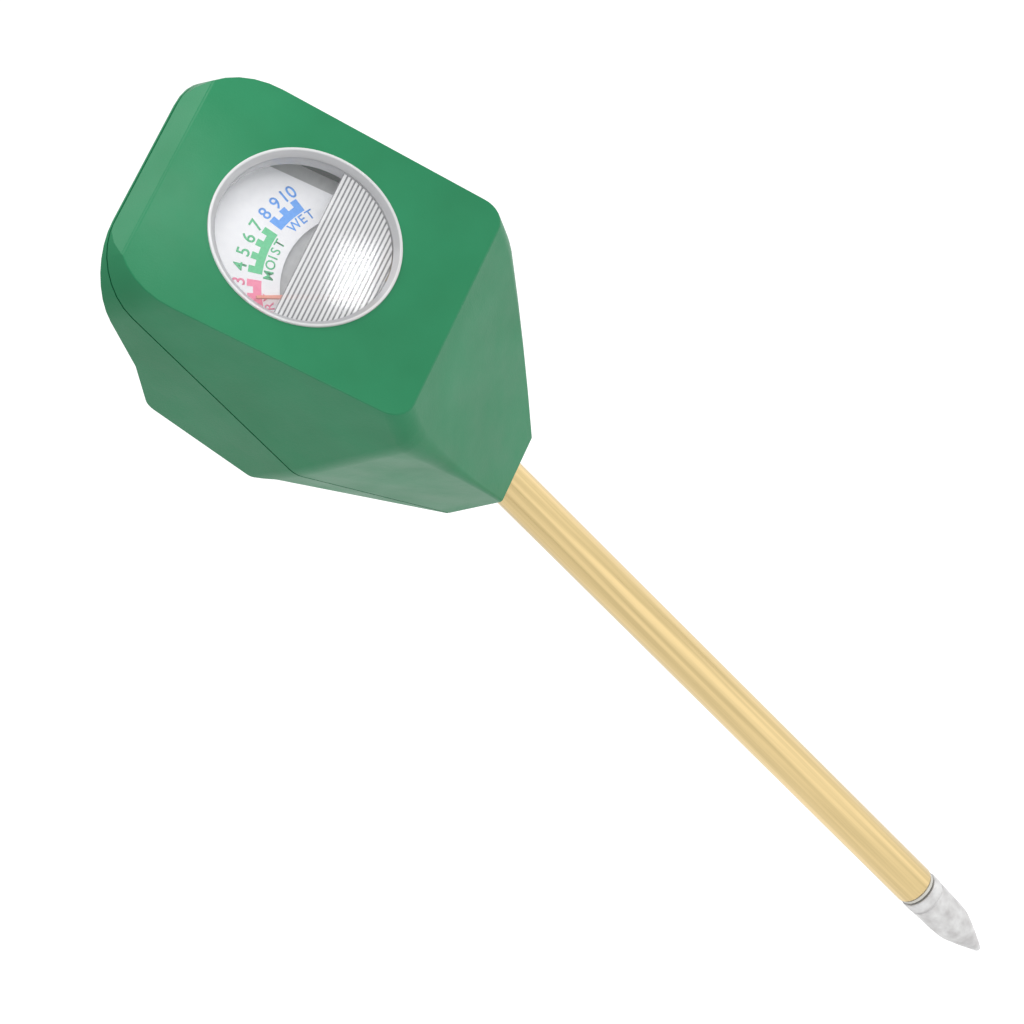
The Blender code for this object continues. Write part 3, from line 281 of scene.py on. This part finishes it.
def turned_mesh(name, profile, turn, matrix=Matrix()):
    """A closed mesh turned about Z from a line of (radius, height) corners; a corner on the axis is a point."""
    mesh_edit = bmesh.new()
    rings = []
    for radius, height in profile:
        if radius < 1e-7:
            rings.append([mesh_edit.verts.new((0, 0, height))])
            continue
        angles = [2 * math.pi * step / turn for step in range(turn)]
        rings.append([mesh_edit.verts.new((radius * math.cos(a), radius * math.sin(a), height)) for a in angles])
    for ring, below in zip(rings, rings[1:]):
        for step in range(turn):
            after = (step + 1) % turn
            corners = [ring[step % len(ring)], ring[after % len(ring)], below[after % len(below)],
                       below[step % len(below)]]
            corners = list(dict.fromkeys(corners))
            if len(corners) > 2:
                mesh_edit.faces.new(corners)
    bmesh.ops.remove_doubles(mesh_edit, verts=mesh_edit.verts, dist=1e-8)
    bmesh.ops.recalc_face_normals(mesh_edit, faces=mesh_edit.faces)
    bmesh.ops.transform(mesh_edit, matrix=matrix, verts=mesh_edit.verts)
    mesh = bpy.data.meshes.new(name)
    mesh_edit.to_mesh(mesh)
    mesh_edit.free()
    mesh.shade_smooth()
    mesh.set_sharp_from_angle(angle=math.radians(28))
    return mesh


def reeded_half(name, radius, front, back, matrix):
    """Half a disc in rows across the dial, flat in front and in round reeds behind."""
    mesh_edit = bmesh.new()
    rows = []
    step = REED_PITCH / REED_ROWS
    for row in range(round(REED_START / step), int(radius / step)):
        half = math.sqrt(radius ** 2 - (row * step) ** 2)
        reed = back - REED_DEPTH * math.sin(math.pi * (row % REED_ROWS) / REED_ROWS)
        corners = ((-half, front), (half, front), (half, reed), (-half, reed))
        rows.append([mesh_edit.verts.new((x, -row * step, z)) for x, z in corners])
    for row, after in zip(rows, rows[1:]):
        for side in range(4):
            other = (side + 1) % 4
            mesh_edit.faces.new([row[side], row[other], after[other], after[side]])
    mesh_edit.faces.new(rows[0])
    mesh_edit.faces.new(rows[-1])
    bmesh.ops.recalc_face_normals(mesh_edit, faces=mesh_edit.faces)
    bmesh.ops.transform(mesh_edit, matrix=matrix, verts=mesh_edit.verts)
    mesh = bpy.data.meshes.new(name)
    mesh_edit.to_mesh(mesh)
    mesh_edit.free()
    mesh.shade_smooth()
    mesh.set_sharp_from_angle(angle=math.radians(40))
    return mesh


def clear_styrene(name, dark, light, alpha):
    """Styrene with a little haze in it; alpha is how much of the light the haze stops."""
    material, tree, shader = new_material(name)
    tree.links.new(shades(tree, grain(tree, 120.0), dark, light), shader.inputs["Base Color"])
    tree.links.new(spread(tree, grain(tree, 300.0), 0.06, 0.12), shader.inputs["Roughness"])
    shader.inputs["IOR"].default_value = 1.55
    shader.inputs["Alpha"].default_value = alpha
    return material, tree, shader


clear_plastic = clear_styrene("clear_styrene", (0.90, 0.90, 0.92), (0.94, 0.94, 0.95), 0.05)[0]
rim_plastic, rim_tree, rim_shader = clear_styrene("rim_styrene_painted_highlight", (0.6, 0.6, 0.6), (0.7, 0.7, 0.7), 0.60)
# Painted highlight on the rim: its colour runs from grey on the inner slope to near white at the outer lip, by radius
# from the window's middle, in any light.
rim_place = add_node(rim_tree, "ShaderNodeTexCoord").outputs["Object"]
rim_offset = add_node(rim_tree, "ShaderNodeVectorMath", {0: rim_place}, operation="SUBTRACT")
rim_offset.inputs[1].default_value = WINDOW_MIDDLE
rim_across = add_node(rim_tree, "ShaderNodeVectorMath", {0: rim_offset.outputs["Vector"]}, operation="CROSS_PRODUCT")
rim_across.inputs[1].default_value = FACE_OUT
rim_radius = add_node(rim_tree, "ShaderNodeVectorMath", {0: rim_across.outputs["Vector"]}, operation="LENGTH")
rim_tree.links.new(shades(rim_tree, spread(rim_tree, rim_radius.outputs["Value"], 0.0, 1.0, PANE_RADIUS, LENS_RADIUS),
                          (0.60, 0.60, 0.62), (0.97, 0.97, 0.98), 0.62, 0.72), rim_shader.inputs["Base Color"])
reed_plastic, reed_tree, reed_shader = clear_styrene("reeded_styrene_painted_shade", (0.9, 0.9, 0.9), (0.95, 0.95, 0.95), 0.60)
reed_tree.links.new(spread(reed_tree, grain(reed_tree, 300.0), 0.03, 0.05), reed_shader.inputs["Roughness"])
# Painted shade on the reeds: their colour runs in a wave across each reed, darker on its upper flank and lighter on its
# lower, in any light.
reed_place = add_node(reed_tree, "ShaderNodeTexCoord").outputs["Object"]
reed_along = add_node(reed_tree, "ShaderNodeVectorMath", {0: reed_place}, operation="DOT_PRODUCT")
reed_along.inputs[1].default_value = FACE_UP
reed_from_middle = add_node(reed_tree, "ShaderNodeMath", {0: reed_along.outputs["Value"]}, operation="SUBTRACT")
reed_from_middle.inputs[1].default_value = WINDOW_MIDDLE.dot(FACE_UP)
reed_turn = add_node(reed_tree, "ShaderNodeMath", {0: reed_from_middle.outputs["Value"]}, operation="MULTIPLY")
reed_turn.inputs[1].default_value = 2 * math.pi / REED_PITCH
reed_painted_shade_wave = add_node(reed_tree, "ShaderNodeMath", {0: reed_turn.outputs["Value"]}, operation="SINE")
reed_tree.links.new(shades(reed_tree, spread(reed_tree, reed_painted_shade_wave.outputs["Value"], 0.0, 1.0, -1.0, 1.0),
                           (0.20, 0.21, 0.22), (0.90, 0.90, 0.91), 0.1, 0.6), reed_shader.inputs["Base Color"])

window_frame = face_frame(WINDOW_MIDDLE)
lip_inner = LENS_RADIUS - LIP_WIDTH
slope_foot = LENS_PROUD - RIM_SLOPE
rim_profile = [(PANE_RADIUS + 0.00012, slope_foot), (lip_inner, LENS_PROUD - 0.00005), (lip_inner + 0.0001, LENS_PROUD),
               (LENS_RADIUS - 0.00015, LENS_PROUD), (LENS_RADIUS - 0.00005, LENS_PROUD - 0.00005),
               (LENS_RADIUS, LENS_PROUD - 0.00015), (LENS_RADIUS, -FLANGE_TOP),
               (HOLE_RADIUS + FLANGE, -FLANGE_TOP), (HOLE_RADIUS + FLANGE, -RIM_FOOT),
               (PANE_RADIUS + 0.00012, -RIM_FOOT), (PANE_RADIUS + 0.00012, slope_foot)]
show("window_rim", turned_mesh("window_rim", rim_profile, RIM_TURN, window_frame), "case", "clear_plastic",
     rim_plastic, "window_lens")
pane_profile = [(0.0, -PANE_DEPTH), (PANE_RADIUS - 0.0001, -PANE_DEPTH), (PANE_RADIUS, -PANE_DEPTH - 0.0001),
                (PANE_RADIUS, -PANE_DEPTH - PANE_THICKNESS), (0.0, -PANE_DEPTH - PANE_THICKNESS)]
show("window_pane", turned_mesh("window_pane", pane_profile, RIM_TURN, window_frame), "case", "clear_plastic",
     clear_plastic, "window_lens")
reed_front = -PANE_DEPTH - PANE_THICKNESS - REED_GAP
show("window_reeds", reeded_half("window_reeds", PANE_RADIUS, reed_front, reed_front - REED_THICKNESS, window_frame),
     "case", "clear_plastic", reed_plastic, "window_lens")


# ---------------------------------------------------------------- probe tube
# Drawn brass tube, 8 mm across, glued into the head's socket. It is brushed along its length and lacquered,
# and its lower end is rolled in over the bush.

TUBE_RADIUS = 0.0040
TUBE_TOP = 0.0200
TUBE_END = -0.1303
TUBE_WALL = 0.0005
TUBE_ROLL = 0.00035
TUBE_TURN = 128

brass, brass_tree, brass_shader = new_material("drawn_brass")
streak = grain(brass_tree, 700.0, stretch=(1, 1, 0.012), detail=4.0)
brass_shade = shades(brass_tree, streak, (0.48, 0.37, 0.18), (0.78, 0.60, 0.31), 0.34, 0.66)
brass_tree.links.new(brass_shade, brass_shader.inputs["Base Color"])
brass_shader.inputs["Metallic"].default_value = 1.0
brass_tree.links.new(spread(brass_tree, streak, 0.24, 0.40), brass_shader.inputs["Roughness"])
relief(brass_tree, brass_shader, streak, 0.00001)

roll = [(math.cos(a) * TUBE_ROLL, math.sin(a) * TUBE_ROLL) for a in [math.pi / 2 * k / 6 for k in range(7)]]
tube_profile = [(TUBE_RADIUS - TUBE_WALL, TUBE_TOP), (TUBE_RADIUS, TUBE_TOP)]
tube_profile += [(TUBE_RADIUS - TUBE_ROLL + x, TUBE_END + TUBE_ROLL - y) for x, y in roll]
tube_profile += [(TUBE_RADIUS - TUBE_ROLL - TUBE_WALL, TUBE_END), (TUBE_RADIUS - TUBE_WALL, TUBE_END + 0.001),
                 (TUBE_RADIUS - TUBE_WALL, TUBE_TOP)]
show("brass_tube", turned_mesh("brass_tube", tube_profile, TUBE_TURN), "case", "tube_brass", brass, "probe_tube")


# ---------------------------------------------------------------- bush and tip
# A moulded bush plugs the tube's end and keeps the two metals apart. The tip is cast aluminium, turned only at its
# collar, with a plain cone and a blunt point.

TIP_TOP = -0.1315
TIP_POINT = -0.1520

pale_plastic, pale_tree, pale_shader = new_material("natural_nylon")
pale_shade = shades(pale_tree, grain(pale_tree, 500.0), (0.66, 0.64, 0.58), (0.80, 0.79, 0.74))
pale_tree.links.new(pale_shade, pale_shader.inputs["Base Color"])
pale_shader.inputs["Roughness"].default_value = 0.45
relief(pale_tree, pale_shader, grain(pale_tree, 1500.0), 0.00001)

cast_metal, cast_tree, cast_shader = new_material("cast_aluminium")
cast_blotch = grain(cast_tree, 420.0, detail=5.0)
cast_shade = shades(cast_tree, cast_blotch, (0.53, 0.52, 0.52), (0.69, 0.69, 0.69))
cast_tree.links.new(cast_shade, cast_shader.inputs["Base Color"])
cast_shader.inputs["Metallic"].default_value = 1.0
cast_tree.links.new(spread(cast_tree, cast_blotch, 0.62, 0.44), cast_shader.inputs["Roughness"])
cast_skin = relief(cast_tree, cast_shader, grain(cast_tree, 3200.0), 0.00003)
relief(cast_tree, cast_shader, grain(cast_tree, 500.0), 0.00005, under=cast_skin)

tip_profile = [(0.0, TIP_TOP + 0.0095), (0.0017, TIP_TOP + 0.0095), (0.0017, TIP_TOP), (0.0036, TIP_TOP),
               (0.0039, TIP_TOP - 0.0001), (0.0040, TIP_TOP - 0.0003), (0.0040, TIP_TOP - 0.0022),
               (0.00395, TIP_TOP - 0.0024), (0.00380, TIP_TOP - 0.0026), (0.00380, TIP_TOP - 0.0028),
               (0.00392, TIP_TOP - 0.0030), (0.00383, -0.1380), (0.00373, -0.1409), (0.00359, -0.1428),
               (0.00340, -0.1438), (0.00315, -0.1447), (0.00220, -0.1476), (0.00110, -0.1505),
               (0.00062, -0.15165), (0.00045, -0.15190), (0.00022, -0.15198), (0.0, TIP_POINT)]
show("cast_tip", turned_mesh("cast_tip", tip_profile, TUBE_TURN), "case", "tip_aluminium", cast_metal,
     "probe_tip")


def finish_node(node, material):
    """Gives a solid that stays as it is its real finish."""
    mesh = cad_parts[node].data
    mesh.materials.clear()
    mesh.materials.append(material)


finish_node("tip_insulator", pale_plastic)


# ---------------------------------------------------------------- clip, terminals and leads
# Stamped brass clip and solder tabs, with soft flex between them. The red lead goes to the tube and the black one
# runs down inside it to the tip.

def plain_metal(name, dark, light, rough_low, rough_high, scale=600.0, stretch=(1, 1, 1)):
    material, tree, shader = new_material(name)
    mottle = grain(tree, scale, stretch)
    tree.links.new(shades(tree, mottle, dark, light), shader.inputs["Base Color"])
    shader.inputs["Metallic"].default_value = 1.0
    tree.links.new(spread(tree, mottle, rough_low, rough_high), shader.inputs["Roughness"])
    relief(tree, shader, mottle, 0.00001)
    return material


def plain_plastic(name, dark, light, rough_low, rough_high, scale=700.0):
    material, tree, shader = new_material(name)
    mottle = grain(tree, scale)
    tree.links.new(shades(tree, mottle, dark, light), shader.inputs["Base Color"])
    tree.links.new(spread(tree, mottle, rough_low, rough_high), shader.inputs["Roughness"])
    relief(tree, shader, mottle, 0.00001)
    return material


stamped_brass = plain_metal("stamped_brass", (0.60, 0.42, 0.17), (0.74, 0.54, 0.26), 0.28, 0.42)
red_flex = plain_plastic("red_flex", (0.40, 0.02, 0.015), (0.50, 0.035, 0.03), 0.38, 0.5)
black_flex = plain_plastic("black_flex", (0.012, 0.012, 0.013), (0.025, 0.025, 0.027), 0.38, 0.5)
for node in ("tube_clip", "tube_terminal", "tip_terminal"):
    finish_node(node, stamped_brass)
finish_node("tube_lead", red_flex)
finish_node("tip_lead", black_flex)


# ---------------------------------------------------------------- meter frame and magnet system
# A grey polystyrene moulding carries the works behind the dial. Its cup holds the soft iron return ring, and two
# moulded spacers centre the magnet in it.

grey_plastic = plain_plastic("grey_polystyrene", (0.50, 0.51, 0.52), (0.58, 0.59, 0.60), 0.42, 0.55)
soft_iron = plain_metal("plated_iron", (0.28, 0.28, 0.29), (0.40, 0.40, 0.41), 0.30, 0.45)
magnet_alloy = plain_metal("magnet_alloy", (0.16, 0.16, 0.17), (0.26, 0.26, 0.27), 0.35, 0.55)
finish_node("meter_frame", grey_plastic)
finish_node("return_ring", soft_iron)
finish_node("core_magnet", magnet_alloy)
finish_node("upper_core_spacer", pale_plastic)
finish_node("lower_core_spacer", pale_plastic)


# ---------------------------------------------------------------- dial
# White coated card, cut out in an arch around the works and held by two small screws. The scale is printed in three
# colours of ink: red for dry, green for moist and blue for wet.

PIVOT = Vector((0, -0.010764, 0.046903))
METER_TURN = math.radians(3.2)
DEGREES_PER_UNIT = 6.92
SCALE_MIDDLE = 5.5
PRINT_TURN = math.radians(1.6)
BAND_INNER = 0.0205
BAND_OUTER = 0.0220
TOOTH_OUTER = 0.0231
TOOTH_HALF = math.radians(1.75)
DIGIT_RADIUS = 0.0245
DIGIT_SIZE = 0.0034
WORD_RADIUS = 0.0193
WORD_SIZE = 0.0025
LETTER_PITCH = 0.00172
LETTER_WIDTHS = {"M": 1.3, "W": 1.35, "O": 1.2, "I": 0.6}
DIGIT_STROKE = 0.00004
WORD_STROKE = 0.00003
INK_HEIGHT = 0.00002
# The card and its inks give out a little light of their own: a painted glow, for they are no lamp.
CARD_PAINTED_GLOW = 0.09
dial_frame = face_frame(PIVOT, METER_TURN)


def scale_turn(reading):
    """Angle from the dial's middle line, positive towards its dry end."""
    return math.radians((SCALE_MIDDLE - reading) * DEGREES_PER_UNIT) + PRINT_TURN


def polar(radius, angle):
    return (-radius * math.sin(angle), radius * math.cos(angle))


def comb_outline(first, last):
    """The band of one zone, solid along its inner edge, with a square tooth standing at each number."""
    start = scale_turn(first) + TOOTH_HALF
    stop = scale_turn(last) - TOOTH_HALF
    line = []
    for number in range(first, last + 1):
        middle = scale_turn(number)
        for angle in (middle + TOOTH_HALF, middle - TOOTH_HALF):
            pair = [polar(BAND_OUTER, angle), polar(TOOTH_OUTER, angle)]
            line += pair if angle > middle else pair[::-1]
        if number < last:
            gap_start = middle - TOOTH_HALF
            gap_stop = scale_turn(number + 1) + TOOTH_HALF
            line += [polar(BAND_OUTER, gap_start + (gap_stop - gap_start) * k / 4) for k in range(1, 4)]
    steps = 6 * (last - first)
    line += [polar(BAND_INNER, stop + (start - stop) * k / steps) for k in range(steps + 1)]
    return line


def letters(mesh_edit, text, size, angle, radius, heavy):
    """Adds one piece of printed text, centred at a radius and an angle of the dial."""
    curve = bpy.data.curves.new("letters", "FONT")
    curve.body = text
    curve.size = size
    curve.align_x = "CENTER"
    curve.align_y = "CENTER"
    curve.offset = heavy
    curve.resolution_u = 4
    item = bpy.data.objects.new("letters", curve)
    bpy.context.collection.objects.link(item)
    graph = bpy.context.evaluated_depsgraph_get()
    mesh = bpy.data.meshes.new_from_object(item.evaluated_get(graph))
    bpy.data.objects.remove(item)
    x, y = polar(radius, angle)
    mesh.transform(Matrix.Translation((x, y, 0)) @ Matrix.Rotation(angle, 4, "Z"))
    mesh_edit.from_mesh(mesh)
    bpy.data.meshes.remove(mesh)


def print_zone(name, word, middle, first, last, dark, light):
    """One zone's ink: its comb, its numbers and its word, a thin raised film on the card."""
    mesh_edit = bmesh.new()
    mesh_edit.faces.new([mesh_edit.verts.new((x, y, 0)) for x, y in comb_outline(first, last)])
    for number in range(first, last + 1):
        letters(mesh_edit, str(number), DIGIT_SIZE, scale_turn(number), DIGIT_RADIUS, DIGIT_STROKE)
    spacing = math.degrees(LETTER_PITCH / WORD_RADIUS) / DEGREES_PER_UNIT
    widths = [LETTER_WIDTHS.get(letter, 1.0) for letter in word]
    for place, letter in enumerate(word):
        along = sum(widths[:place]) + widths[place] / 2 - sum(widths) / 2
        reading = middle + along * spacing
        letters(mesh_edit, letter, WORD_SIZE, scale_turn(reading), WORD_RADIUS, WORD_STROKE)
    film = bmesh.ops.extrude_face_region(mesh_edit, geom=mesh_edit.faces[:])
    raised = [part for part in film["geom"] if isinstance(part, bmesh.types.BMVert)]
    bmesh.ops.translate(mesh_edit, vec=(0, 0, INK_HEIGHT), verts=raised)
    bmesh.ops.recalc_face_normals(mesh_edit, faces=mesh_edit.faces)
    bmesh.ops.transform(mesh_edit, matrix=dial_frame @ Matrix.Translation((0, 0, INK_HEIGHT)),
                        verts=mesh_edit.verts)
    mesh = bpy.data.meshes.new(name)
    mesh_edit.to_mesh(mesh)
    mesh_edit.free()
    ink, ink_tree, ink_shader = new_material(name)
    ink_shade = shades(ink_tree, grain(ink_tree, 1800.0), dark, light)
    ink_tree.links.new(ink_shade, ink_shader.inputs["Base Color"])
    # The ink glows a little in its own colours, a painted glow that brightens it in any light.
    ink_tree.links.new(ink_shade, ink_shader.inputs["Emission Color"])
    ink_shader.inputs["Emission Strength"].default_value = CARD_PAINTED_GLOW
    ink_shader.inputs["Roughness"].default_value = 0.45
    show(name, mesh, "case", "dial_card", ink)


card, card_tree, card_shader = new_material("coated_card")
card_shade = shades(card_tree, grain(card_tree, 900.0, detail=6.0), (0.88, 0.88, 0.91), (0.93, 0.93, 0.95))
card_tree.links.new(card_shade, card_shader.inputs["Base Color"])
card_tree.links.new(spread(card_tree, grain(card_tree, 1500.0), 0.38, 0.52), card_shader.inputs["Roughness"])
# The card glows a little in bluish white, a painted glow that brightens it in any light.
card_shader.inputs["Emission Color"].default_value = (0.88, 0.92, 1.0, 1.0)
card_shader.inputs["Emission Strength"].default_value = CARD_PAINTED_GLOW
relief(card_tree, card_shader, grain(card_tree, 2500.0), 0.00001)
finish_node("dial_plate", card)
print_zone("dry_zone_ink", "DRY", 1.2, 1, 3, (0.92, 0.22, 0.38), (0.97, 0.28, 0.44))
print_zone("moist_zone_ink", "MOIST", 5.2, 4, 7, (0.09, 0.56, 0.25), (0.12, 0.63, 0.30))
print_zone("wet_zone_ink", "WET", 9.5, 8, 10, (0.08, 0.33, 0.90), (0.11, 0.39, 0.97))


# ---------------------------------------------------------------- moving coil and needle
# The coil is varnished copper wire on a folded aluminium former, hung on steel pivots. It carries the painted
# aluminium needle and a brass weight that balances it.

needle_paint = plain_plastic("needle_paint", (0.95, 0.34, 0.25), (0.98, 0.42, 0.33), 0.35, 0.45)
copper_wire = plain_metal("varnished_copper", (0.50, 0.19, 0.07), (0.76, 0.34, 0.15), 0.22, 0.36, 4000.0,
                          (0.05, 1, 1))
folded_aluminium = plain_metal("folded_aluminium", (0.62, 0.62, 0.64), (0.78, 0.78, 0.80), 0.25, 0.4)
bright_steel = plain_metal("bright_steel", (0.50, 0.50, 0.52), (0.66, 0.66, 0.68), 0.18, 0.32)
finish_node("pointer", needle_paint)
finish_node("coil_winding", copper_wire)
finish_node("coil_former", folded_aluminium)
finish_node("front_pivot", bright_steel)
finish_node("rear_pivot", bright_steel)
finish_node("balance_weight", stamped_brass)


# ---------------------------------------------------------------- bridges, screws, springs and stops
# Two brass bridges hold the jewel screws that the pivots turn in. Two hairsprings bring the needle back, and wire
# stops limit its swing. Small bright screws hold the dial.

spring_bronze = plain_metal("spring_bronze", (0.58, 0.36, 0.14), (0.74, 0.50, 0.24), 0.2, 0.34)
for node in ("front_bridge", "rear_bridge"):
    finish_node(node, stamped_brass)
for node in ("front_hairspring", "rear_hairspring"):
    finish_node(node, spring_bronze)
for node in ("front_jewel_screw", "rear_jewel_screw", "zero_arm", "dry_stop", "wet_stop", "left_dial_screw",
             "right_dial_screw"):
    finish_node(node, bright_steel)
